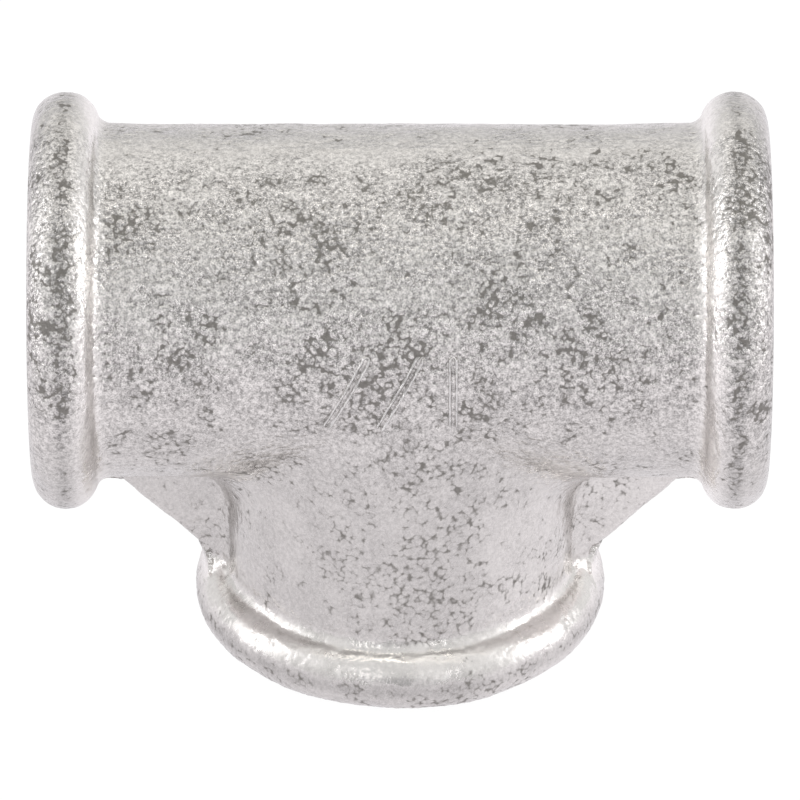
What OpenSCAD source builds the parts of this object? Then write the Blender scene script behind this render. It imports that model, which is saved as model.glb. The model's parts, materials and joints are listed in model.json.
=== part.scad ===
// Equal pipe tee in malleable iron: a straight run, a branch square to it, female pipe
// threads in the three mouths, a reinforcing bead round each mouth and a flat web in each
// corner. The run lies along X and the tee stands on the branch's mouth, at z = 0.

/* [Thread] */
// Major diameter of the parallel pipe thread (1/2 inch)
thread_major_d = 20.955; // [19:0.005:23]
// Pitch of the thread (14 turns to the inch)
thread_pitch = 1.814; // [1.3:0.001:2.3]
// Length of the threaded wall, from the mouth's face to the end of its run-out
thread_l = 15; // [11:0.5:16.5]
// Room between the thread's major diameter and the wall of the waterway
core_clear = 0.32; // [0.2:0.02:0.8]
// Land left outside the chamfers at the two ends of the threaded wall
chamfer_land = 0.27; // [0.1:0.01:0.5]

/* [Body] */
// Run, face to face
run_l = 56; // [52:0.5:80]
// Branch, from the run's axis to the face of its mouth
branch_h = 28; // [26:0.5:44]
// Wall of the two tubes
wall = 2.65; // [2:0.05:3.6]

/* [Bead] */
// Width of a bead along its tube
bead_w = 5; // [3.5:0.1:6.5]
// Height of a bead above its tube
bead_h = 2.45; // [1.6:0.05:3.5]
// Radius of the fillet at a bead's foot
foot_r = 1; // [0.5:0.1:1.5]

/* [Web] */
// Thickness of a web
web_t = 3; // [1.6:0.1:6]
// Height of a web's edge above the tube where it meets a bead
web_rise = 0.5; // [0.2:0.1:1.5]

/* [Mark] */
// Height of the raised strokes, centred on the run's axis
mark_h = 6.3; // [4:0.1:9]
// Width of a stroke
stroke_w = 0.75; // [0.5:0.05:1.2]
// Height of the strokes above the body
mark_relief = 0.35; // [0.2:0.05:0.6]
// Step from one stroke to the next along the run
stroke_step = 4; // [2.5:0.1:5]
// Lean of a slanted stroke from upright
stroke_lean = 27; // [10:1:35]

/* [Hidden] */
$fn = 96;

// A cut runs past the face that it opens by this much.
over = 1;
// Depth of a 55 degree pipe thread, as a share of its pitch
thread_depth_share = 0.640327;

thread_minor_r = thread_major_d / 2 - thread_depth_share * thread_pitch;
core_r = thread_major_d / 2 + core_clear;
chamfer_l = core_r - chamfer_land - thread_minor_r;
body_r = core_r + wall;
bead_r = body_r + bead_h;
half_run = run_l / 2;

// The bead is half round: its arc has its centre on this circle.
bead_round_r = bead_w / 2;
bead_core_r = bead_r - bead_round_r;
// Centre of the foot's fillet, which touches the tube and the bead's arc
foot_centre_r = body_r + foot_r;
foot_rise = foot_centre_r - bead_core_r;
foot_l = bead_round_r + sqrt(pow(bead_round_r + foot_r, 2) - pow(foot_rise, 2));

// A profile has the radius along its X and the distance in from the mouth's face along its Y.
module foot_fillet_profile() {
    difference() {
        polygon([
            [bead_core_r, bead_round_r],
            [foot_centre_r, foot_l],
            [body_r, foot_l],
            [body_r - foot_r, foot_l],
            [body_r - foot_r, bead_round_r]
        ]);
        translate([foot_centre_r, foot_l])
            circle(r = foot_r);
    }
}

module bead_profile() {
    square([body_r, foot_l]);
    square([bead_core_r, bead_w]);
    translate([bead_core_r, bead_round_r])
        circle(r = bead_round_r);
    foot_fillet_profile();
}

// Solid bead with its foot, standing on the mouth's face at z = 0
module bead_solid() {
    rotate_extrude()
        bead_profile();
}

// Solid outline of one arm: its tube from the mouth's face to the other axis, with its bead
module arm_solid(reach) {
    rotate_extrude() {
        bead_profile();
        square([body_r, reach]);
    }
}

// Moves an arm's shapes, drawn upwards from z = 0, to the mouth of the run or the branch.
module at_run_mouth(side) {
    translate([side * half_run, 0, branch_h])
        rotate([0, -90 * side, 0])
            children();
}

// The space under the two mitre planes, where the tubes' walls change from run to branch
module mitre_wedge() {
    depth = branch_h + over;
    rotate([90, 0, 0])
        linear_extrude(2 * (bead_r + over), center = true)
            polygon([[0, branch_h], [depth, branch_h - depth], [-depth, branch_h - depth]]);
}

module run_core() {
    translate([-half_run - over, 0, branch_h])
        rotate([0, 90, 0])
            cylinder(r = core_r, h = run_l + 2 * over);
}

module branch_core() {
    translate([0, 0, -over])
        cylinder(r = core_r, h = branch_h + 3 * over);
}

module run_barrel() {
    barrel_l = run_l - 2 * foot_l;
    color([0.78, 0.78, 0.77])
        difference() {
            translate([-barrel_l / 2, 0, branch_h])
                rotate([0, 90, 0])
                    cylinder(r = body_r, h = barrel_l);
            run_core();
            mitre_wedge();
        }
}

// The tube is drawn past the run's axis, so that only the mitre planes end it.
module branch_neck() {
    color([0.80, 0.80, 0.80])
        intersection() {
            difference() {
                translate([0, 0, foot_l])
                    cylinder(r = body_r, h = branch_h - foot_l + over);
                branch_core();
            }
            mitre_wedge();
        }
}

module bead() {
    color([0.72, 0.72, 0.70])
        difference() {
            bead_solid();
            translate([0, 0, -over])
                cylinder(r = core_r, h = foot_l + 2 * over);
        }
}

module left_bead() {
    at_run_mouth(-1)
        bead();
}

module right_bead() {
    at_run_mouth(1)
        bead();
}

module branch_bead() {
    bead();
}

// A web fills the corner in the plane of the two axes. Its straight edge runs from the foot
// of the run's bead to the foot of the branch's bead.
module web(side) {
    run_foot = [side * (half_run - bead_w), branch_h - body_r - web_rise];
    branch_foot = [side * (body_r + web_rise), bead_w];
    edge = run_foot - branch_foot;
    seat = edge / norm(edge) * bead_h / 2;
    corner = [side * body_r / 2, branch_h - body_r / 2];
    color([0.82, 0.82, 0.83])
        difference() {
            rotate([90, 0, 0])
                linear_extrude(web_t, center = true)
                    polygon([run_foot + seat, branch_foot - seat, corner]);
            at_run_mouth(side)
                arm_solid(half_run);
            arm_solid(branch_h);
        }
}

module left_web() {
    web(-1);
}

module right_web() {
    web(1);
}

// 45 degree cone that opens from the thread's minor radius, past the end of its wall
module chamfer_cut() {
    cut_l = chamfer_l + over;
    cylinder(r1 = thread_minor_r, r2 = thread_minor_r + cut_l, h = cut_l);
}

// Threaded wall of one mouth, bored at the thread's minor diameter, with a chamfer at the
// mouth and the same slope where the thread runs out into the waterway
module thread_wall() {
    color([0.62, 0.62, 0.60])
        difference() {
            cylinder(r = core_r, h = thread_l);
            translate([0, 0, -over])
                cylinder(r = thread_minor_r, h = thread_l + 2 * over);
            translate([0, 0, thread_l - chamfer_l])
                chamfer_cut();
            translate([0, 0, chamfer_l])
                mirror([0, 0, 1])
                    chamfer_cut();
        }
}

module left_thread() {
    at_run_mouth(-1)
        thread_wall();
}

module right_thread() {
    at_run_mouth(1)
        thread_wall();
}

module branch_thread() {
    thread_wall();
}

// One raised stroke, drawn through the body's front half. A slanted one is longer, so that
// all have the same height.
module stroke(place, lean) {
    stroke_l = mark_h / cos(lean);
    translate([place, -bead_r, branch_h])
        rotate([0, lean, 0])
            translate([-stroke_w / 2, 0, -stroke_l / 2])
                cube([stroke_w, bead_r, stroke_l]);
}

module strokes() {
    stroke(stroke_step, 0);
    stroke(0, stroke_lean);
    stroke(-stroke_step, stroke_lean);
}

// Ring of the mark's relief round a tube
module relief_ring(reach) {
    difference() {
        cylinder(r = body_r + mark_relief, h = reach);
        translate([0, 0, -over])
            cylinder(r = body_r, h = reach + 2 * over);
    }
}

module cast_strokes() {
    color([0.88, 0.88, 0.87]) {
        difference() {
            intersection() {
                strokes();
                translate([-half_run / 2, 0, branch_h])
                    rotate([0, 90, 0])
                        relief_ring(half_run);
            }
            mitre_wedge();
        }
        intersection() {
            strokes();
            relief_ring(branch_h + over);
            mitre_wedge();
        }
    }
}

run_barrel();
branch_neck();
left_bead();
right_bead();
branch_bead();
left_web();
right_web();
left_thread();
right_thread();
branch_thread();
cast_strokes();
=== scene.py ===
# A galvanised pipe tee: one cast body with a grainy zinc skin, flat webs in its corners,
# and a cut pipe thread in each of its three mouths. Lengths are millimetres until a mesh is made.
import json
from math import ceil, pi, radians, sqrt
import bpy
import bmesh
import numpy as np
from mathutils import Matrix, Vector, noise
from mathutils.bvhtree import BVHTree


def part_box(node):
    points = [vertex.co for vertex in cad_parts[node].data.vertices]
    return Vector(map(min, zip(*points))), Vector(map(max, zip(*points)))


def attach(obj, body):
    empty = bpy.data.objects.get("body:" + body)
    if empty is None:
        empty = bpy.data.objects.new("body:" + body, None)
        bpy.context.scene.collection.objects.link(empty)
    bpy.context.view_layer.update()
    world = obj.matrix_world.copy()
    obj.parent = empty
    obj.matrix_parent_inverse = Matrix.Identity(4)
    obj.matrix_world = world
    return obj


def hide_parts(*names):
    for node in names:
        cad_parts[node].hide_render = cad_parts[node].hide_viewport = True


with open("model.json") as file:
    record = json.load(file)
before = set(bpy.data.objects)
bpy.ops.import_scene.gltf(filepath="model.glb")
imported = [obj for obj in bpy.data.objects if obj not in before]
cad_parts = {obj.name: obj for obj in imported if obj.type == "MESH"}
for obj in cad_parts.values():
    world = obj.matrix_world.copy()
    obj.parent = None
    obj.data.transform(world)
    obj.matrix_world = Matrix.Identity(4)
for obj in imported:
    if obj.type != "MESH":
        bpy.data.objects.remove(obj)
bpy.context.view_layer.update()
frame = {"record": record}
mm = 0.001


def nodeBox(name):
    low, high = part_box(name)
    return np.array(low) / mm, np.array(high) / mm


# Sizes that the frame gives
beadLow, beadHigh = nodeBox("right_bead")
_, barrelHigh = nodeBox("run_barrel")
threadLow, threadHigh = nodeBox("right_thread")
webLow, webHigh = nodeBox("right_web")
ports = {m["name"]: m for m in frame["record"]["mounts"]}

halfRun = beadHigh[0]
axisZ = (beadLow[2] + beadHigh[2]) / 2
beadRadius = (beadHigh[2] - beadLow[2]) / 2
tubeRadius = barrelHigh[2] - axisZ
footPlane = beadLow[0]
coreRadius = (threadHigh[2] - threadLow[2]) / 2
threadLength = threadHigh[0] - threadLow[0]
minorRadius = ports["right_port"]["dims"]["r_mm"]
webThickness = webHigh[1] - webLow[1]

# The cast body, beyond what the frame gives
casting = {
    "beadWidth": 5.0,
    "footRadius": 1.0,
    "crotchRadius": 3.6,
    "webRise": 0.5,
    "webRadius": 2.2,
    "webEdge": 0.8,
    "gridStep": 0.21,
    "faceFade": 0.45,
    "slopeStep": 0.02,
    "settleRounds": 4,
}


# A field is a signed distance with the direction in which it grows.
def joinRound(first, second, radius):
    # the union of two fields, with a rolling ball's fillet where they meet
    distA, dirA = first
    distB, dirB = second
    along = np.clip(np.sum(dirA * dirB, axis=0), -0.95, 0.995)
    roomA = radius - distA
    roomB = radius - distB
    inFillet = (roomA > along * roomB) & (roomB > along * roomA) & (roomA > 0) & (roomB > 0)
    spread = roomA**2 + roomB**2 - 2 * along * roomA * roomB
    ball = radius - np.sqrt(np.maximum(spread, 0) / (1 - along**2))
    dist = np.where(inFillet, ball, np.minimum(distA, distB))
    return dist, np.where(distA < distB, dirA, dirB)


def armField(out, sideA, sideB, reach):
    # a tube along "out" with its bead; returns the directions as (out, sideA, sideB)
    radius = np.sqrt(sideA**2 + sideB**2) + 1e-6
    half = casting["beadWidth"] / 2
    beadCore = beadRadius - half
    tube = np.maximum(radius - tubeRadius, out - (reach - half))
    zero = np.zeros_like(out)
    tubeDir = np.array([zero, sideA / radius, sideB / radius])
    up = np.maximum(radius - beadCore, 0)
    across = out - (reach - half)
    beadDist = np.sqrt(up**2 + across**2) + 1e-6
    beadDir = np.array([across, up * sideA / radius, up * sideB / radius]) / beadDist
    return joinRound((tube, tubeDir), (beadDist - half, beadDir), casting["footRadius"])


def webField(x, y, down):
    rise = tubeRadius + casting["webRise"]
    reach = (halfRun - casting["beadWidth"]) + rise
    edge = casting["webEdge"]
    side = np.abs(y) - webThickness / 2 + edge
    slope = (np.abs(x) + down - reach) / sqrt(2) + edge
    sideOut = np.maximum(side, 0)
    slopeOut = np.maximum(slope, 0)
    dist = np.minimum(np.maximum(side, slope), 0) + np.sqrt(sideOut**2 + slopeOut**2) - edge
    bySlope = np.where(slope > side, slopeOut + 1e-6, 0)
    bySide = np.where(side > slope, sideOut + 1e-6, np.minimum(sideOut, 1e-3))
    direction = np.array([bySlope * np.sign(x) / sqrt(2), bySide * np.sign(y), -bySlope / sqrt(2)])
    direction = direction / (np.sqrt(np.sum(direction**2, axis=0)) + 1e-9)
    inside = tubeRadius / 2
    return np.maximum(dist, np.maximum(inside - down, inside - np.abs(x))), direction


def castField(x, y, z):
    # signed distance to the body's outside, without its bores
    down = axisZ - z
    run, runDir = armField(np.abs(x), y, -down, halfRun)
    runDir = np.array([runDir[0] * np.sign(x), runDir[1], runDir[2]])
    branch, turned = armField(down, x, y, axisZ)
    branchDir = np.array([turned[1], turned[2], -turned[0]])
    joined, joinedDir = joinRound((run, runDir), (branch, branchDir), casting["crotchRadius"])
    # above its axis the run stands alone
    body = np.where(down > 0, joined, run), np.where(down > 0, joinedDir, runDir)
    dist, _ = joinRound(body, webField(x, y, down), casting["webRadius"])
    return np.maximum(dist, np.maximum(np.abs(x) - halfRun, -z))


def fieldSlope(points):
    # the outward direction of the field at each point, by small differences
    h = casting["slopeStep"]
    slope = np.empty_like(points)
    for axis in range(3):
        step = np.zeros(3)
        step[axis] = h
        ahead = castField(*(points + step).T)
        behind = castField(*(points - step).T)
        slope[:, axis] = (ahead - behind) / (2 * h)
    return slope


def sampleQuarter(step):
    # the body is the same left and right, front and back, so a quarter is sampled and mirrored
    margin = 3 * step
    xs = np.arange(0, halfRun + margin, step)
    ys = np.arange(0, beadRadius + margin, step)
    zs = np.arange(-margin, axisZ + beadRadius + margin, step)
    field = np.empty((len(xs), len(ys), len(zs)), np.float32)
    y, z = np.meshgrid(ys, zs, indexing="ij")
    for i, x in enumerate(xs):
        field[i] = castField(np.full_like(y, x), y, z)
    field = np.concatenate([field[:0:-1], field], axis=0)
    field = np.concatenate([field[:, :0:-1], field], axis=1)
    start = np.array([-xs[-1], -ys[-1], zs[0]])
    return field, start


def netFaces(field, start, step):
    # one vertex in each cell that the surface crosses, and one quad across each crossed edge
    inside = field < 0
    shape = np.array(field.shape) - 1
    count = np.zeros(shape, np.int8)
    corners = [(i, j, k) for i in (0, 1) for j in (0, 1) for k in (0, 1)]
    for i, j, k in corners:
        count += inside[i:shape[0] + i, j:shape[1] + j, k:shape[2] + k]
    cells = np.argwhere((count > 0) & (count < 8))
    total = np.zeros((len(cells), 3))
    hits = np.zeros(len(cells))
    for axis in range(3):
        for corner in corners:
            if corner[axis]:
                continue
            a = cells + corner
            b = a.copy()
            b[:, axis] += 1
            fa = field[tuple(a.T)]
            fb = field[tuple(b.T)]
            crossed = (fa < 0) != (fb < 0)
            share = np.where(crossed, fa / np.where(crossed, fa - fb, 1), 0)
            place = a.astype(float)
            place[:, axis] += share
            total += place * crossed[:, None]
            hits += crossed
    points = start + step * total / hits[:, None]
    index = np.full(shape, -1, np.int32)
    index[tuple(cells.T)] = np.arange(len(cells))
    quads = []
    for axis in range(3):
        u, v = [(1, 2), (2, 0), (0, 1)][axis]
        low = np.take(inside, range(field.shape[axis] - 1), axis)
        high = np.take(inside, range(1, field.shape[axis]), axis)
        edges = np.argwhere(low != high)
        falling = low[tuple(edges.T)]
        ring = []
        for du, dv in ((0, 0), (-1, 0), (-1, -1), (0, -1)):
            cell = edges.copy()
            cell[:, u] += du
            cell[:, v] += dv
            ring.append(index[tuple(cell.T)])
        quad = np.array(ring).T
        quads.append(np.where(falling[:, None], quad, quad[:, ::-1]))
    return points, np.concatenate(quads)


def settle(points, step):
    # brings the net's vertices onto the surface itself
    for _ in range(casting["settleRounds"]):
        slope = fieldSlope(points)
        size = np.sum(slope**2, axis=1)
        move = slope * (castField(*points.T) / np.maximum(size, 0.2))[:, None]
        points = points - np.clip(move, -step / 2, step / 2)
    return points


def meshFrom(name, points, faces):
    mesh = bpy.data.meshes.new(name)
    mesh.from_pydata((points * mm).tolist(), [], faces.tolist())
    mesh.polygons.foreach_set("use_smooth", np.ones(len(faces), bool))
    mesh.update()
    piece = bpy.data.objects.new(name, mesh)
    bpy.context.scene.collection.objects.link(piece)
    return piece


def buildSkin():
    step = casting["gridStep"]
    field, start = sampleQuarter(step)
    points, quads = netFaces(field, start, step)
    points = settle(points, step)
    slope = fieldSlope(points)
    slope = slope / np.maximum(np.linalg.norm(slope, axis=1), 1e-6)[:, None]
    points = points + slope * (skinWave(points) * faceFade(points))[:, None]
    skin = meshFrom("skin", points, quads)
    print("cast skin:", len(points), "points,", len(quads), "faces")
    return skin


# Slow waves of the cast surface, and the thin seam that the mould's joint leaves at y = 0
wave = {
    "shift": 7.3,
    "seamShift": 31.0,
    "seamShare": 0.35,
    "lengths": (9.0, 3.6),
    "heights": (0.10, 0.055),
    "seamWidth": 0.16,
    "seamHeight": 0.07,
    "seamPatch": 5.0,
}


def skinWave(points):
    height = np.zeros(len(points))
    for length, size in zip(wave["lengths"], wave["heights"]):
        height += size * np.array([noise.noise(p) for p in (points / length + wave["shift"]).tolist()])
    spots = points / wave["seamPatch"] + wave["seamShift"]
    patch = np.array([noise.noise(p) for p in spots.tolist()])
    seam = np.exp(-(points[:, 1] / wave["seamWidth"])**2)
    return height + wave["seamHeight"] * seam * np.clip(patch + wave["seamShare"], 0, 1)


def faceFade(points):
    # 0 on the machined faces, 1 a little way in from them
    x, z = np.abs(points[:, 0]), points[:, 2]
    depth = np.minimum(halfRun - x, z) / casting["faceFade"]
    return np.clip(depth, 0, 1)


# The zinc's grain, in millimetres: blunt pebbles, closed up in most places and parted by dark
# channels in patches. The same pattern lifts the mesh and colours the material.
grain = {
    "pebbles": (0.68, 0.41),
    "warpSize": 1.0,
    "warp": 0.3,
    "breakSize": 0.3,
    "breakUp": 0.10,
    "radius": (0.84, 0.37),
    "edge": (0.20, 0.10),
    "domeEdge": 0.7,
    "dome": 0.26,
    "patches": (6.5, 1.7),
    "patchBand": (0.37, 0.63),
    "centre": 2.0,
    "reach": (0.0, 23.0),
    "reachGain": (0.07, -0.035),
    "lowSqueeze": 1.3,
    "calmBand": (15.0, 33.0),
    "calmest": 0.25,
    "patchShares": (0.45, 0.55),
    "upperBand": (32.0, 37.0),
    "upperGain": -0.025,
    "topBand": (-3.5, 0.5),
    "topFrom": (35.0, 38.0),
    "topGain": -0.06,
    "topCalm": 0.5,
    "crestDepth": 2.55,
    "crestWidth": 0.85,
    "crestFrom": (1.0, 1.8),
    "crestGain": 0.12,
    "foot": (3.0, 4.6, 6.2),
    "footGain": -0.12,
    "footCalm": 0.6,
    "lift": 0.045,
    "lumpSize": 1.9,
    "lump": 0.05,
}


def addNode(tree, kind, **values):
    node = tree.nodes.new(kind)
    for key, value in values.items():
        if key in node.inputs:
            node.inputs[key].default_value = value
        else:
            setattr(node, key, value)
    return node


def vectorMath(tree, operation, a, b):
    node = addNode(tree, "ShaderNodeVectorMath", operation=operation)
    for socket, value in zip(node.inputs, (a, b)):
        if isinstance(value, bpy.types.NodeSocket):
            tree.links.new(value, socket)
        else:
            socket.default_value = value
    return node.outputs[0]


def doMath(tree, operation, a, b=0.0, clamp=False):
    node = addNode(tree, "ShaderNodeMath", operation=operation, use_clamp=clamp)
    for socket, value in zip(node.inputs, (a, b)):
        if isinstance(value, bpy.types.NodeSocket):
            tree.links.new(value, socket)
        else:
            socket.default_value = value
    return node.outputs[0]


def mapRange(tree, value, low, high, toLow=0.0, toHigh=1.0, smooth=True):
    node = addNode(tree, "ShaderNodeMapRange")
    node.interpolation_type = "SMOOTHSTEP" if smooth else "LINEAR"
    for name, number in (("From Min", low), ("From Max", high), ("To Min", toLow), ("To Max", toHigh)):
        node.inputs[name].default_value = number
    tree.links.new(value, node.inputs["Value"])
    return node.outputs["Result"]


def noiseAt(tree, place, size, detail=2.0, roughness=0.5, offset=0.0):
    moved = vectorMath(tree, "ADD", place, (offset, offset * 0.7, -offset))
    node = addNode(tree, "ShaderNodeTexNoise", Scale=1.0 / size, Detail=detail, Roughness=roughness)
    tree.links.new(moved, node.inputs["Vector"])
    return node.outputs["Fac"], node.outputs["Color"]


def cellsAt(tree, place, size, feature="F1"):
    node = addNode(tree, "ShaderNodeTexVoronoi", feature=feature)
    node.inputs["Scale"].default_value = 1.0 / size
    tree.links.new(place, node.inputs["Vector"])
    return node


def distanceFrom(tree, first, second):
    # root of the sum of two squares
    squares = [doMath(tree, "MULTIPLY", value, value) for value in (first, second)]
    return doMath(tree, "SQRT", doMath(tree, "ADD", *squares))


def splitPlace(tree, place):
    node = addNode(tree, "ShaderNodeSeparateXYZ")
    tree.links.new(place, node.inputs[0])
    return node.outputs


def crestMask(tree, place):
    # 1 along the crest of each bead, a little outside its middle
    x, y, z = splitPlace(tree, place)
    branchDepth = doMath(tree, "SUBTRACT", z, grain["crestDepth"])
    runDepth = doMath(tree, "SUBTRACT", doMath(tree, "ABSOLUTE", x), halfRun - grain["crestDepth"])
    runRadius = distanceFrom(tree, y, doMath(tree, "SUBTRACT", z, axisZ))
    branchRadius = distanceFrom(tree, x, y)
    masks = []
    for depth, radius in ((runDepth, runRadius), (branchDepth, branchRadius)):
        band = mapRange(tree, doMath(tree, "ABSOLUTE", depth), 0.0, grain["crestWidth"], 1.0, 0.0)
        low, full = grain["crestFrom"]
        high = mapRange(tree, radius, tubeRadius + low, tubeRadius + full)
        masks.append(doMath(tree, "MULTIPLY", band, high))
    return doMath(tree, "MAXIMUM", *masks)


def footMask(tree, place):
    # 1 in the hollow at the foot of each bead; there the grain is calmer and the coat's colour is
    # lightened as a painted highlight
    x, y, z = splitPlace(tree, place)
    runDepth = doMath(tree, "SUBTRACT", halfRun, doMath(tree, "ABSOLUTE", x))
    depth = doMath(tree, "MINIMUM", runDepth, z)
    low, middle, high = grain["foot"]
    rising = mapRange(tree, depth, low, middle)
    falling = mapRange(tree, depth, middle, high, 1.0, 0.0)
    return doMath(tree, "MULTIPLY", rising, falling)


def topMask(tree, place):
    # 1 along the top of the run and a little behind it
    _, y, z = splitPlace(tree, place)
    onTop = mapRange(tree, y, *grain["topBand"])
    return doMath(tree, "MULTIPLY", onTop, mapRange(tree, z, *grain["topFrom"]))


def calmMask(tree, place):
    # the grain's strength: full above, faint low down, along the top and in the bead feet; in the colour
    # it also sets how strong the painted glints and painted rim shade are
    _, _, z = splitPlace(tree, place)
    low = mapRange(tree, z, *grain["calmBand"], grain["calmest"], 1.0)
    top = mapRange(tree, topMask(tree, place), 0.0, 1.0, 1.0, grain["topCalm"])
    foot = mapRange(tree, footMask(tree, place), 0.0, 1.0, 1.0, grain["footCalm"])
    return doMath(tree, "MULTIPLY", doMath(tree, "MULTIPLY", low, top), foot)


def pebbleRadius(tree, place):
    # how far the pebbles spread, in their own size: small ones leave channels
    large, small = (noiseAt(tree, place, size, detail=2.0, offset=size)[0] for size in grain["patches"])
    largeShare, smallShare = grain["patchShares"]
    patch = doMath(tree, "ADD", doMath(tree, "MULTIPLY", large, largeShare),
                   doMath(tree, "MULTIPLY", small, smallShare))
    x, _, z = splitPlace(tree, place)
    aside = doMath(tree, "ABSOLUTE", doMath(tree, "SUBTRACT", x, grain["centre"]))
    low = mapRange(tree, z, *grain["calmBand"], 1.0 + grain["lowSqueeze"], 1.0)
    middle = mapRange(tree, doMath(tree, "MULTIPLY", aside, low), *grain["reach"], *grain["reachGain"])
    upper = mapRange(tree, z, *grain["upperBand"])
    middle = doMath(tree, "MULTIPLY", middle, doMath(tree, "SUBTRACT", 1.0, upper))
    middle = doMath(tree, "ADD", middle, doMath(tree, "MULTIPLY", upper, grain["upperGain"]))
    crest = doMath(tree, "MULTIPLY", crestMask(tree, place), grain["crestGain"])
    patch = doMath(tree, "ADD", patch, doMath(tree, "MAXIMUM", middle, crest))
    for mask, gain in ((topMask, "topGain"), (footMask, "footGain")):
        patch = doMath(tree, "ADD", patch, doMath(tree, "MULTIPLY", mask(tree, place), grain[gain]))
    return mapRange(tree, patch, *grain["patchBand"], *grain["radius"])


def pebbles(tree, place):
    # dome: 1 on a pebble's flat top, falling to 0 at its rim; channel: 1 between the pebbles
    _, push = noiseAt(tree, place, grain["warpSize"], detail=1.0)
    spread = grain["warp"] * 2
    push = vectorMath(tree, "SUBTRACT", push, (0.5, 0.5, 0.5))
    push = vectorMath(tree, "MULTIPLY", push, (spread, spread, spread))
    warped = vectorMath(tree, "ADD", place, push)
    radius = pebbleRadius(tree, place)
    past = None
    for size in grain["pebbles"]:
        # small pebbles fill the gaps that large ones leave
        away = cellsAt(tree, warped, size, feature="F1").outputs["Distance"]
        beyond = doMath(tree, "MULTIPLY", doMath(tree, "SUBTRACT", away, radius), size)
        past = beyond if past is None else doMath(tree, "MINIMUM", past, beyond)
    fine, _ = noiseAt(tree, place, grain["breakSize"], detail=1.0, offset=5.0)
    fine = doMath(tree, "MULTIPLY", doMath(tree, "SUBTRACT", fine, 0.5), grain["breakUp"] * 2)
    past = doMath(tree, "ADD", past, fine)
    # the channels' banks are softer low down
    _, _, z = splitPlace(tree, place)
    bank = mapRange(tree, z, *grain["calmBand"], *grain["edge"])
    channel = mapRange(tree, doMath(tree, "DIVIDE", past, bank), 0.0, 1.0)
    dome = mapRange(tree, past, -grain["dome"], grain["edge"][1] * grain["domeEdge"], 1.0, 0.0)
    return dome, channel


def reliefTree():
    # lifts the cast skin along its normals by the grain's cells and by soft lumps
    tree = bpy.data.node_groups.new("castRelief", "GeometryNodeTree")
    tree.interface.new_socket("Geometry", in_out="INPUT", socket_type="NodeSocketGeometry")
    tree.interface.new_socket("Geometry", in_out="OUTPUT", socket_type="NodeSocketGeometry")
    entry = addNode(tree, "NodeGroupInput")
    leave = addNode(tree, "NodeGroupOutput")
    position = addNode(tree, "GeometryNodeInputPosition").outputs[0]
    normal = addNode(tree, "GeometryNodeInputNormal").outputs[0]
    place = vectorMath(tree, "MULTIPLY", position, (1 / mm, 1 / mm, 1 / mm))
    dome, _ = pebbles(tree, place)
    lift = doMath(tree, "MULTIPLY", dome, grain["lift"])
    lump, _ = noiseAt(tree, place, grain["lumpSize"], detail=1.0, offset=5.0)
    lump = doMath(tree, "MULTIPLY", doMath(tree, "SUBTRACT", lump, 0.5), grain["lump"] * 2)
    height = doMath(tree, "ADD", lift, lump)
    fade = addNode(tree, "GeometryNodeInputNamedAttribute")
    fade.data_type = "FLOAT"
    fade.inputs["Name"].default_value = "skinFade"
    height = doMath(tree, "MULTIPLY", height, fade.outputs["Attribute"])
    height = doMath(tree, "MULTIPLY", height, mm)
    scaled = addNode(tree, "ShaderNodeVectorMath", operation="SCALE")
    tree.links.new(normal, scaled.inputs[0])
    tree.links.new(height, scaled.inputs["Scale"])
    move = addNode(tree, "GeometryNodeSetPosition")
    tree.links.new(entry.outputs[0], move.inputs["Geometry"])
    tree.links.new(scaled.outputs[0], move.inputs["Offset"])
    tree.links.new(move.outputs[0], leave.inputs[0])
    return tree


def applied(piece):
    # the piece's mesh with its modifiers done
    graph = bpy.context.evaluated_depsgraph_get()
    mesh = bpy.data.meshes.new_from_object(piece.evaluated_get(graph))
    old = piece.data
    piece.modifiers.clear()
    piece.data = mesh
    bpy.data.meshes.remove(old)
    return piece


def roughen(piece, fade=None):
    mesh = piece.data
    if fade is None:
        points = np.empty(len(mesh.vertices) * 3)
        mesh.vertices.foreach_get("co", points)
        fade = faceFade(points.reshape(-1, 3) / mm)
    layer = mesh.attributes.new("skinFade", "FLOAT", "POINT")
    layer.data.foreach_set("value", fade.astype(np.float32))
    relief = piece.modifiers.new("relief", "NODES")
    relief.node_group = bpy.data.node_groups.get("castRelief") or reliefTree()
    applied(piece)
    piece.data.attributes.remove(piece.data.attributes["skinFade"])
    return piece


def combine(piece, tool, operation):
    cut = piece.modifiers.new("cut", "BOOLEAN")
    cut.operation = operation
    cut.solver = "MANIFOLD"
    cut.object = tool
    return applied(piece)


def loftRings(name, rings, closed=False):
    # rings of equal counts, joined in order; open lofts get a flat face on both ends
    turns = len(rings[0])
    points = np.concatenate(rings)
    faces = []
    last = len(rings) if closed else len(rings) - 1
    for r in range(last):
        a = r * turns
        b = (r + 1) % len(rings) * turns
        for k in range(turns):
            n = (k + 1) % turns
            faces.append((a + k, a + n, b + n, b + k))
    if not closed:
        faces.append(tuple(range(turns - 1, -1, -1)))
        faces.append(tuple(len(points) - turns + k for k in range(turns)))
    mesh = bpy.data.meshes.new(name)
    mesh.from_pydata((points * mm).tolist(), [], faces)
    work = bmesh.new()
    work.from_mesh(mesh)
    bmesh.ops.recalc_face_normals(work, faces=work.faces)
    work.to_mesh(mesh)
    work.free()
    mesh.polygons.foreach_set("use_smooth", np.ones(len(mesh.polygons), bool))
    piece = bpy.data.objects.new(name, mesh)
    bpy.context.scene.collection.objects.link(piece)
    return piece


# Each mouth: where its face is, the way in, and two directions across it
mouths = {
    "left": ((-halfRun, 0, axisZ), (1, 0, 0), (0, 1, 0), (0, 0, 1)),
    "right": ((halfRun, 0, axisZ), (-1, 0, 0), (0, 0, 1), (0, 1, 0)),
    "branch": ((0, 0, 0), (0, 0, 1), (1, 0, 0), (0, 1, 0)),
}


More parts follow.
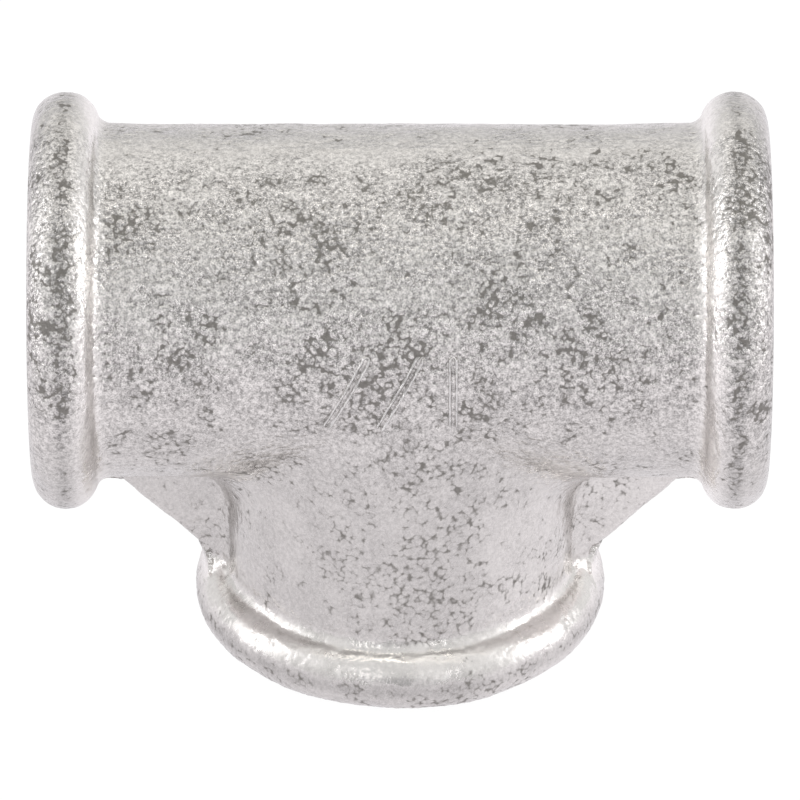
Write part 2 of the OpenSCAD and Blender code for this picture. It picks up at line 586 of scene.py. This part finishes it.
def ringAt(mouth, depth, radius, turns):
    # points round a mouth's axis, at a depth in from its face
    face, inward, across, up = (np.array(v, float) for v in mouths[mouth])
    angle = 2 * pi * np.arange(turns) / turns
    wheel = np.outer(np.cos(angle), across) + np.outer(np.sin(angle), up)
    return face + inward * depth + wheel * np.reshape(radius, (-1, 1))


waterway = {
    "turns": 180,
    "step": 0.5,
    "wave": 1.6,
    "height": 0.09,
    "ramp": 2.0,
    "past": 2.0,
}


def boreTool(mouth, length):
    # the cored hole: true behind the threads, uneven between them
    turns = waterway["turns"]
    through = mouth != "branch"
    start = threadLength
    end = length - threadLength if through else length
    past = waterway["past"]
    middle = np.arange(start, end, waterway["step"])
    depths = np.concatenate([[-past], middle, [end, length + (past if through else 0.0)]])
    rings = []
    for depth in depths:
        ring = ringAt(mouth, depth, np.full(turns, coreRadius), turns)
        ramp = np.clip(min(depth - start, end - depth) / waterway["ramp"], 0, 1)
        if not through:
            ramp = np.clip((depth - start) / waterway["ramp"], 0, 1)
        rough = np.array([noise.noise(p) for p in (ring / waterway["wave"]).tolist()])
        rings.append(ringAt(mouth, depth, coreRadius + waterway["height"] * rough * ramp, turns))
    return loftRings("bore", rings)


def prism(name, outline, half):
    # an outline in the XZ plane, from -half to half along Y
    front = np.array([(x, -half, z) for x, z in outline], float)
    return loftRings(name, [front, front + (0, 2 * half, 0)])


def slab(name, lowX, highX, lowZ, highZ, half):
    return prism(name, [(lowX, lowZ), (highX, lowZ), (highX, highZ), (lowX, highZ)], half)


def copyOf(piece, name):
    twin = piece.copy()
    twin.data = piece.data.copy()
    twin.name = name
    bpy.context.scene.collection.objects.link(twin)
    return twin


def remove(piece):
    mesh = piece.data
    bpy.data.objects.remove(piece)
    bpy.data.meshes.remove(mesh)


def cutBores(body):
    for mouth, length in (("right", 2 * halfRun), ("branch", axisZ)):
        tool = boreTool(mouth, length)
        combine(body, tool, "DIFFERENCE")
        remove(tool)
    return body


def meshArray(mesh, owner, field, width):
    values = np.empty(len(owner) * width)
    owner.foreach_get(field, values)
    return values.reshape(-1, width) if width > 1 else values


def paintBody(body, materials):
    # skin first, then the machined end faces, then the cored waterway
    mesh = body.data
    mesh.materials.clear()
    for material in materials:
        mesh.materials.append(material)
    x, y, z = meshArray(mesh, mesh.polygons, "center", 3).T / mm
    inRun = np.hypot(y, z - axisZ) < coreRadius + 0.3
    inBranch = (np.hypot(x, y) < coreRadius + 0.3) & (z < axisZ)
    faced = (np.abs(x) > halfRun - 0.02) | (z < 0.02)
    index = np.where(faced, 1, np.where(inRun | inBranch, 2, 0))
    mesh.polygons.foreach_set("material_index", index)


# The body's regions, each the body inside some cutters and outside others
webPlane = 0.97 * tubeRadius
far = 60.0
slabHalf = 40.0
webSlabHalf = 12.0
onPlane = 2e-4
skinAngle = 50
threadAngle = 40
regions = {
    "run_barrel": (["barrelSlab"], ["wedge", "leftWebSlab", "rightWebSlab"]),
    "branch_neck": (["wedge", "neckSlab"], ["leftWebSlab", "rightWebSlab"]),
    "left_bead": (["leftSlab"], []),
    "right_bead": (["rightSlab"], []),
    "branch_bead": (["bottomSlab"], []),
    "left_web": (["leftWebSlab"], []),
    "right_web": (["rightWebSlab"], []),
}
footHeight = halfRun - footPlane


def makeCutters():
    webTop = axisZ - webPlane
    return {
        "barrelSlab": slab("barrelSlab", -footPlane, footPlane, footHeight, far, slabHalf),
        "neckSlab": slab("neckSlab", -far, far, footHeight, far, slabHalf),
        "leftSlab": slab("leftSlab", -far, -footPlane, -far, far, slabHalf),
        "rightSlab": slab("rightSlab", footPlane, far, -far, far, slabHalf),
        "bottomSlab": slab("bottomSlab", -footPlane, footPlane, -far, footHeight, slabHalf),
        "leftWebSlab": slab("leftWebSlab", -footPlane, -webPlane, footHeight, webTop, webSlabHalf),
        "rightWebSlab": slab("rightWebSlab", webPlane, footPlane, footHeight, webTop, webSlabHalf),
        "wedge": prism("wedge", [(0, axisZ), (far, axisZ - far), (-far, axisZ - far)], slabHalf),
    }


def capFaces(mesh):
    # faces that lie whole in one of the planes that part the regions
    places = meshArray(mesh, mesh.vertices, "co", 3) / mm
    x, y, z = places.T
    webTop = axisZ - webPlane
    side = np.abs(x)
    planes = [side - footPlane, z - footHeight, side - (axisZ - z), side - webPlane, z - webTop]
    loopVerts = np.empty(len(mesh.loops), np.int64)
    mesh.loops.foreach_get("vertex_index", loopVerts)
    starts = np.empty(len(mesh.polygons), np.int64)
    mesh.polygons.foreach_get("loop_start", starts)
    cap = np.zeros(len(mesh.polygons), bool)
    for plane in planes:
        on = (np.abs(plane) < onPlane)[loopVerts]
        cap |= np.logical_and.reduceat(on, starts)
    return cap, loopVerts, starts, places


def smoothSeams(piece, tree, bodyMesh, bodyNormals):
    # along a seam the normals come from the unparted body, so that the skin runs on unbroken
    mesh = piece.data
    mesh.set_sharp_from_angle(angle=radians(skinAngle))
    cap, loopVerts, starts, places = capFaces(mesh)
    owner = np.repeat(np.arange(len(starts)), np.diff(np.append(starts, len(loopVerts))))
    border = np.zeros(len(places), bool)
    border[loopVerts[cap[owner]]] = True
    found = {}
    for v in np.flatnonzero(border):
        spot, _, face, _ = tree.find_nearest(Vector(places[v] * mm))
        corners = bodyMesh.polygons[face].vertices[:]
        weights = np.array([1 / ((bodyMesh.vertices[c].co - spot).length + 1e-7) for c in corners])
        found[v] = (bodyNormals[list(corners)] * weights[:, None]).sum(0)
    normals = np.zeros((len(loopVerts), 3))
    for i in np.flatnonzero(border[loopVerts] & ~cap[owner]):
        normal = found[loopVerts[i]]
        normals[i] = normal / np.linalg.norm(normal)
    mesh.normals_split_custom_set(normals.tolist())
    return piece


def partBody(body):
    cutters = makeCutters()
    corners = [v.co for v in body.data.vertices]
    tree = BVHTree.FromPolygons(corners, [p.vertices for p in body.data.polygons])
    bodyNormals = meshArray(body.data, body.data.vertex_normals, "vector", 3)
    pieces = {}
    for name, (inside, outside) in regions.items():
        piece = copyOf(body, name + "_cast")
        for cutter in inside:
            combine(piece, cutters[cutter], "INTERSECT")
        for cutter in outside:
            combine(piece, cutters[cutter], "DIFFERENCE")
        pieces[name] = smoothSeams(piece, tree, body.data, bodyNormals)
        print("region:", name, len(piece.data.polygons), "faces")
    for cutter in cutters.values():
        remove(cutter)
    return pieces


# The pipe thread: 55 degree form, right hand, 14 turns to the inch
pipeThread = {
    "majorRadius": 10.4775,
    "pitch": 1.814,
    "formHeight": 0.960491,
    "turns": 240,
    "step": 0.085,
    "round": 0.16,
    "land": 0.27,
}


def threadRadius(depth, turns):
    pitch = pipeThread["pitch"]
    share = (depth / pitch - np.arange(turns) / turns) % 1.0
    ridge = pitch * pipeThread["formHeight"] * (2 * np.abs(share - 0.5) - 0.5)
    half = (pipeThread["majorRadius"] - minorRadius) / 2
    soft = pipeThread["round"]
    ridge = 0.5 * (ridge + half - np.sqrt((ridge - half)**2 + soft**2))
    ridge = 0.5 * (ridge - half + np.sqrt((ridge + half)**2 + soft**2))
    radius = minorRadius + half + ridge
    chamfer = coreRadius - pipeThread["land"] - minorRadius
    mouthCone = minorRadius + chamfer - depth
    innerCone = minorRadius + chamfer - (threadLength - depth)
    return np.maximum(radius, np.maximum(mouthCone, innerCone))


def buildThread(mouth):
    turns = pipeThread["turns"]
    count = ceil(threadLength / pipeThread["step"])
    depths = np.linspace(0, threadLength, count + 1)
    rings = [ringAt(mouth, d, threadRadius(d, turns), turns) for d in depths]
    rings.append(ringAt(mouth, threadLength, np.full(turns, coreRadius), turns))
    rings.append(ringAt(mouth, 0, np.full(turns, coreRadius), turns))
    piece = loftRings(mouth + "_thread_cut", rings, closed=True)
    piece.data.set_sharp_from_angle(angle=radians(threadAngle))
    return piece


# Raised strokes on the front: bars of soft section that follow the body
strokes = {
    "height": 6.3,
    "width": 0.80,
    "relief": 0.30,
    "sink": 0.2,
    "step": 4.0,
    "lean": 27.0,
    "along": 120,
    "across": 32,
    "base": 0.03,
    "hollow": 1.0,
    "waver": 0.7,
    "waverHeight": 0.5,
    # how much of the painted highlight colour the strokes take
    "paintedSheenShare": 0.65,
    "bump": 0.7,
}


def frontOfBody(x, z):
    # the Y of the body's front at each point of the XZ plane
    y = np.full_like(x, -tubeRadius)
    for _ in range(8):
        y = y + castField(x, y, z) * 0.9
    return y


def buildStroke(place, lean):
    length = strokes["height"] / np.cos(radians(lean))
    s = np.linspace(-1, 1, strokes["across"] + 1)
    t = np.linspace(-1, 1, strokes["along"] + 1)
    half = strokes["width"] / 2
    rings = []
    for run in t:
        # the ends are round
        tip = max(abs(run) * length / 2 - (length / 2 - half), 0) / half
        width = half * sqrt(max(1 - tip**2, 0.02))
        across = s * width
        along = run * length / 2
        x = place + across * np.cos(radians(lean)) + along * np.sin(radians(lean))
        z = axisZ - across * np.sin(radians(lean)) + along * np.cos(radians(lean))
        # steep sides, and a hollow along the middle
        ease = (1 - s**6) * (1 - tip**4) * (1 - strokes["hollow"] * np.cos(s * pi / 2)**4)
        worn = [noise.noise((place + side, place, along / strokes["waver"])) for side in s]
        ease = ease * (1 + strokes["waverHeight"] * np.array(worn))
        rise = strokes["relief"] * ease - strokes["base"]
        front = frontOfBody(x, z)
        top = np.array([x, front - rise, z]).T
        under = np.array([x, front + strokes["sink"], z]).T
        rings.append(np.concatenate([top, under[::-1]]))
    return loftRings("stroke", rings)


def joinMeshes(name, pieces):
    # several meshes as one object
    mesh = bpy.data.meshes.new(name)
    work = bmesh.new()
    for piece in pieces:
        work.from_mesh(piece.data)
    work.to_mesh(mesh)
    work.free()
    for piece in pieces:
        remove(piece)
    whole = bpy.data.objects.new(name, mesh)
    bpy.context.scene.collection.objects.link(whole)
    return whole


def buildStrokes():
    step, lean = strokes["step"], strokes["lean"]
    bars = [buildStroke(step, 0), buildStroke(0, lean), buildStroke(-step, lean)]
    return joinMeshes("cast_strokes_raised", bars)


# Materials
def newMaterial(name):
    material = bpy.data.materials.new(name)
    material.use_nodes = True
    tree = material.node_tree
    return material, tree, tree.nodes["Principled BSDF"]


def mixColor(tree, factor, a, b, blend="MIX"):
    node = addNode(tree, "ShaderNodeMix")
    node.data_type = "RGBA"
    node.blend_type = blend
    for socket, value in ((node.inputs[0], factor), (node.inputs[6], a), (node.inputs[7], b)):
        if isinstance(value, bpy.types.NodeSocket):
            tree.links.new(value, socket)
        else:
            socket.default_value = value
    return node.outputs[2]


def bump(tree, height, strength, distance):
    node = addNode(tree, "ShaderNodeBump")
    node.inputs["Strength"].default_value = strength
    node.inputs["Distance"].default_value = distance * mm
    tree.links.new(height, node.inputs["Height"])
    return node.outputs["Normal"]


zincLook = {
    "plain": (0.585, 0.567, 0.552),
    "glitterSizes": (0.13, 0.32),
    "glitterShares": (0.5, 0.5),
    # these two paint glints and dark flecks into the colour, in place of sparkle from the light
    "paintedGlintBand": (0.36, 0.64),
    "paintedGlintGain": (-0.44, 0.52),
    "cloudSize": 3.2,
    "cloudBand": (0.35, 0.65),
    "cloudGain": (-0.05, 0.05),
    # darkens each pebble's rim: painted shade
    "paintedRimShadeGain": -0.18,
    "crestGain": -0.16,
    # lightens the hollow at each bead's foot: a painted highlight
    "footGain": 0.44,
    "channel": (0.20, 0.19, 0.175),
    # a lighter colour put on the raised strokes as a painted highlight
    "paintedSheen": (0.74, 0.73, 0.72),
    "channelDepth": 0.88,
    "domeHeight": 0.06,
    "glitterHeight": 0.085,
    # these three paint light onto the lower right flank of the branch
    "paintedLightSide": (4.0, 9.0),
    "paintedLightBelow": (14.0, 20.0),
    "paintedLightGain": 0.17,
    "roughness": (0.20, 0.34),
    "channelRoughness": 0.25,
}


def zincGroup():
    # colour, roughness and height of the zinc coat, shared by all that is cast
    tree = bpy.data.node_groups.new("zincCoat", "ShaderNodeTree")
    for name, kind in (("Color", "Color"), ("Roughness", "Float"), ("Height", "Float")):
        tree.interface.new_socket(name, in_out="OUTPUT", socket_type="NodeSocket" + kind)
    leave = addNode(tree, "NodeGroupOutput")
    coords = addNode(tree, "ShaderNodeTexCoord").outputs["Object"]
    place = vectorMath(tree, "MULTIPLY", coords, (1 / mm, 1 / mm, 1 / mm))
    dome, channel = pebbles(tree, place)
    strength = calmMask(tree, place)
    grains = [noiseAt(tree, place, size, detail=1.0, offset=size)[0] for size in zincLook["glitterSizes"]]
    shares = [doMath(tree, "MULTIPLY", g, share) for g, share in zip(grains, zincLook["glitterShares"])]
    glitter = doMath(tree, "ADD", *shares)
    cloud, _ = noiseAt(tree, place, zincLook["cloudSize"], detail=3.0, offset=9.0)
    # how much lighter or darker than the plain coat, as a share: painted glints and dark flecks from the
    # fine grain, and painted shade at the pebbles' rims
    gain = mapRange(tree, glitter, *zincLook["paintedGlintBand"], *zincLook["paintedGlintGain"], smooth=False)
    # painted shade: the colour is darker at each pebble's rim
    paintedRimShade = doMath(tree, "MULTIPLY", doMath(tree, "SUBTRACT", 1.0, dome), zincLook["paintedRimShadeGain"])
    gain = doMath(tree, "MULTIPLY", doMath(tree, "ADD", gain, paintedRimShade), strength)
    gain = doMath(tree, "ADD", gain, mapRange(tree, cloud, *zincLook["cloudBand"], *zincLook["cloudGain"]))
    crest = doMath(tree, "MULTIPLY", crestMask(tree, place), zincLook["crestGain"])
    # painted highlight: lighter in the hollow at each bead's foot
    foot = doMath(tree, "MULTIPLY", footMask(tree, place), zincLook["footGain"])
    # painted light: the branch's right flank is lightened low down, as if more light fell on that side
    x, _, z = splitPlace(tree, place)
    paintedFlankLight = doMath(tree, "MULTIPLY", mapRange(tree, x, *zincLook["paintedLightSide"]),
                    mapRange(tree, z, *zincLook["paintedLightBelow"], zincLook["paintedLightGain"], 0.0))
    gain = doMath(tree, "ADD", doMath(tree, "ADD", gain, crest), doMath(tree, "ADD", foot, 1.0))
    gain = doMath(tree, "ADD", gain, paintedFlankLight)
    base = addNode(tree, "ShaderNodeVectorMath", operation="SCALE")
    base.inputs[0].default_value = zincLook["plain"]
    tree.links.new(gain, base.inputs["Scale"])
    dark = doMath(tree, "MULTIPLY", channel, zincLook["channelDepth"])
    color = mixColor(tree, dark, base.outputs[0], (*zincLook["channel"], 1))
    tree.links.new(color, leave.inputs["Color"])
    rough = mapRange(tree, cloud, *zincLook["cloudBand"], *zincLook["roughness"])
    extra = doMath(tree, "MULTIPLY", channel, zincLook["channelRoughness"])
    tree.links.new(doMath(tree, "ADD", rough, extra), leave.inputs["Roughness"])
    height = doMath(tree, "MULTIPLY", glitter, zincLook["glitterHeight"])
    height = doMath(tree, "ADD", height, doMath(tree, "MULTIPLY", dome, zincLook["domeHeight"]))
    tree.links.new(doMath(tree, "MULTIPLY", height, strength), leave.inputs["Height"])
    return tree


def zincSkin():
    material, tree, shader = newMaterial("zincSkin")
    coat = addNode(tree, "ShaderNodeGroup")
    coat.node_tree = bpy.data.node_groups.get("zincCoat") or zincGroup()
    shader.inputs["Metallic"].default_value = 1.0
    tree.links.new(coat.outputs["Color"], shader.inputs["Base Color"])
    tree.links.new(coat.outputs["Roughness"], shader.inputs["Roughness"])
    tree.links.new(bump(tree, coat.outputs["Height"], 1.0, 1.0), shader.inputs["Normal"])
    return material


def strokeZinc():
    # the same coat, lightened on the raised strokes as a painted highlight
    material, tree, shader = newMaterial("strokeZinc")
    coat = addNode(tree, "ShaderNodeGroup")
    coat.node_tree = bpy.data.node_groups["zincCoat"]
    shader.inputs["Metallic"].default_value = 1.0
    paintedSheen = mixColor(tree, strokes["paintedSheenShare"], coat.outputs["Color"], (*zincLook["paintedSheen"], 1))
    tree.links.new(paintedSheen, shader.inputs["Base Color"])
    tree.links.new(coat.outputs["Roughness"], shader.inputs["Roughness"])
    tree.links.new(bump(tree, coat.outputs["Height"], strokes["bump"], 1.0), shader.inputs["Normal"])
    return material


cutLook = {
    "bright": (0.60, 0.585, 0.565),
    "dull": (0.44, 0.43, 0.415),
    "markSize": 0.22,
    "blotchSize": 2.4,
    "markShare": 0.5,
    "shadeBand": (0.38, 0.62),
    "blotchBand": (0.35, 0.65),
    "roughness": (0.26, 0.44),
    "markDepth": 0.03,
}


def machinedMetal():
    # turned metal: fine rings and lines left by the tool, with duller blotches
    material, tree, shader = newMaterial("machinedMetal")
    coords = addNode(tree, "ShaderNodeTexCoord").outputs["Object"]
    place = vectorMath(tree, "MULTIPLY", coords, (1 / mm, 1 / mm, 1 / mm))
    x, y, z = splitPlace(tree, place)
    runRadius = distanceFrom(tree, y, doMath(tree, "SUBTRACT", z, axisZ))
    radius = doMath(tree, "MINIMUM", runRadius, distanceFrom(tree, x, y))
    runDepth = doMath(tree, "SUBTRACT", halfRun, doMath(tree, "ABSOLUTE", x))
    depth = doMath(tree, "MINIMUM", z, runDepth)
    across = addNode(tree, "ShaderNodeCombineXYZ")
    tree.links.new(radius, across.inputs[0])
    tree.links.new(depth, across.inputs[1])
    marks, _ = noiseAt(tree, across.outputs[0], cutLook["markSize"], detail=2.0)
    blotch, _ = noiseAt(tree, place, cutLook["blotchSize"], detail=3.0, offset=4.0)
    share = cutLook["markShare"]
    parts = [doMath(tree, "MULTIPLY", marks, share), doMath(tree, "MULTIPLY", blotch, 1 - share)]
    shade = mapRange(tree, doMath(tree, "ADD", *parts), *cutLook["shadeBand"])
    color = mixColor(tree, shade, (*cutLook["dull"], 1), (*cutLook["bright"], 1))
    tree.links.new(color, shader.inputs["Base Color"])
    rough = mapRange(tree, blotch, *cutLook["blotchBand"], *cutLook["roughness"])
    tree.links.new(rough, shader.inputs["Roughness"])
    tree.links.new(bump(tree, marks, 1.0, cutLook["markDepth"]), shader.inputs["Normal"])
    shader.inputs["Metallic"].default_value = 1.0
    return material


# Camera, floor and light
view = {
    "elevation": 32.5,
    "distance": 700.0,
    "pixelsPerMm": 13.1,
    "picture": 800,
    "sensor": 36.0,
    "clip": (0.05, 20.0),
    "aim": (0.0, -4.1, 21.6),
}


def placeCamera():
    data = bpy.data.cameras.new("camera")
    camera = bpy.data.objects.new("camera", data)
    bpy.context.scene.collection.objects.link(camera)
    data.sensor_width = view["sensor"]
    pictureWidth = view["picture"] / view["pixelsPerMm"]
    data.lens = data.sensor_width * view["distance"] / pictureWidth
    data.clip_start, data.clip_end = view["clip"]
    tilt = radians(view["elevation"])
    away = Vector((0, -np.cos(tilt), np.sin(tilt)))
    aim = Vector(view["aim"])
    camera.location = (aim + away * view["distance"]) * mm
    camera.rotation_euler = away.to_track_quat("Z", "Y").to_euler()
    bpy.context.scene.camera = camera


floorLook = {
    "half": 3.0,
    "matte": (0.9, 0.9, 0.9),
    "cool": (0.99, 0.965, 1.0),
    "glow": 1.06,
    "glowShare": 0.9,
}


def seenDirectly(tree):
    path = addNode(tree, "ShaderNodeLightPath")
    seen = doMath(tree, "MAXIMUM", path.outputs["Is Camera Ray"], path.outputs["Is Glossy Ray"])
    return doMath(tree, "MAXIMUM", seen, path.outputs["Is Transmission Ray"])


def layFloor():
    mesh = bpy.data.meshes.new("floor")
    size = floorLook["half"]
    corners = [(-size, -size, 0), (size, -size, 0), (size, size, 0), (-size, size, 0)]
    mesh.from_pydata(corners, [], [(0, 1, 2, 3)])
    floor = bpy.data.objects.new("floor", mesh)
    bpy.context.scene.collection.objects.link(floor)
    material = bpy.data.materials.new("floorWhite")
    material.use_nodes = True
    tree = material.node_tree
    tree.nodes.clear()
    leave = addNode(tree, "ShaderNodeOutputMaterial")
    matte = addNode(tree, "ShaderNodeBsdfDiffuse")
    matte.inputs["Color"].default_value = (*floorLook["matte"], 1)
    glow = addNode(tree, "ShaderNodeEmission")
    # white where the camera sees it, a little cooler in the zinc
    direct = addNode(tree, "ShaderNodeLightPath").outputs["Is Camera Ray"]
    tree.links.new(mixColor(tree, direct, (*floorLook["cool"], 1), (1, 1, 1, 1)), glow.inputs["Color"])
    glow.inputs["Strength"].default_value = floorLook["glow"]
    mix = addNode(tree, "ShaderNodeMixShader")
    tree.links.new(doMath(tree, "MULTIPLY", seenDirectly(tree), floorLook["glowShare"]), mix.inputs[0])
    tree.links.new(matte.outputs[0], mix.inputs[1])
    tree.links.new(glow.outputs[0], mix.inputs[2])
    tree.links.new(mix.outputs[0], leave.inputs[0])
    mesh.materials.append(material)


# Each lamp faces the run's middle; the side lamps stand on the left and on the right
backLamp = {"place": (0, 420, 420), "size": (800, 420), "power": 0.36, "color": "topColor"}
sideLamps = {
    "": {"place": (560, -60, 200), "size": (440, 500), "power": 0.40, "color": "sideColor"},
    "Strip": {"place": (560, -60, 240), "size": (60, 520), "power": 0.34, "color": "sideColor"},
    "Arch": {"place": (200, -20, 600), "size": (30, 700), "power": 0.16, "color": "topColor"},
    "Front": {"place": (210, -560, 260), "size": (30, 460), "power": 0.14, "color": "sideColor"},
}


def softbox(name, side, lamp):
    data = bpy.data.lights.new(name, "AREA")
    data.shape = "RECTANGLE"
    data.size, data.size_y = lamp["size"][0] * mm, lamp["size"][1] * mm
    data.energy = lamp["power"]
    data.color = light[lamp["color"]]
    box = bpy.data.objects.new(name, data)
    bpy.context.scene.collection.objects.link(box)
    x, y, z = lamp["place"]
    place = Vector((side * x, y, z))
    box.location = place * mm
    toward = Vector((0, 0, axisZ)) - place
    box.rotation_euler = toward.to_track_quat("-Z", "Y").to_euler()


light = {
    "tent": (0.79, 0.79, 0.79),
    "opening": (0.62, 0.62, 0.63),
    "openingBand": (0.80, 0.98),
    "topColor": (1.0, 0.97, 0.89),
    "sideColor": (0.99, 0.985, 1.0),
}


def tentColor(tree):
    # pale cloth all round, with a darker opening towards the camera
    toward = addNode(tree, "ShaderNodeTexCoord").outputs["Generated"]
    along = addNode(tree, "ShaderNodeVectorMath", operation="DOT_PRODUCT")
    tree.links.new(toward, along.inputs[0])
    along.inputs[1].default_value = (0, -1, 0)
    opening = mapRange(tree, along.outputs["Value"], *light["openingBand"])
    return mixColor(tree, opening, (*light["tent"], 1), (*light["opening"], 1))


def lightScene():
    world = bpy.data.worlds.new("world")
    bpy.context.scene.world = world
    world.use_nodes = True
    tree = world.node_tree
    tent = tree.nodes["Background"]
    tree.links.new(tentColor(tree), tent.inputs["Color"])
    white = addNode(tree, "ShaderNodeBackground")
    mix = addNode(tree, "ShaderNodeMixShader")
    path = addNode(tree, "ShaderNodeLightPath")
    tree.links.new(path.outputs["Is Camera Ray"], mix.inputs[0])
    tree.links.new(tent.outputs[0], mix.inputs[1])
    tree.links.new(white.outputs[0], mix.inputs[2])
    tree.links.new(mix.outputs[0], tree.nodes["World Output"].inputs[0])
    softbox("back", 1, backLamp)
    for side, name in ((-1, "left"), (1, "right")):
        for ending, lamp in sideLamps.items():
            softbox(name + ending, side, lamp)
    bpy.context.scene.view_settings.view_transform = "Standard"


placeCamera()
layFloor()
lightScene()
zinc = zincSkin()
cutMetal = machinedMetal()

body = roughen(buildSkin())
print("body roughened")
cutBores(body)
print("bores cut:", len(body.data.polygons), "faces")
paintBody(body, [zinc, cutMetal, zinc])
parts = partBody(body)
remove(body)
for name, piece in parts.items():
    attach(piece, "root")
    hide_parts(name)
for mouth in mouths:
    piece = buildThread(mouth)
    piece.data.materials.append(cutMetal)
    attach(piece, "root")
    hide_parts(mouth + "_thread")
print("threads cut")
marks = buildStrokes()
marks.data.materials.append(strokeZinc())
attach(marks, "root")
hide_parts("cast_strokes")
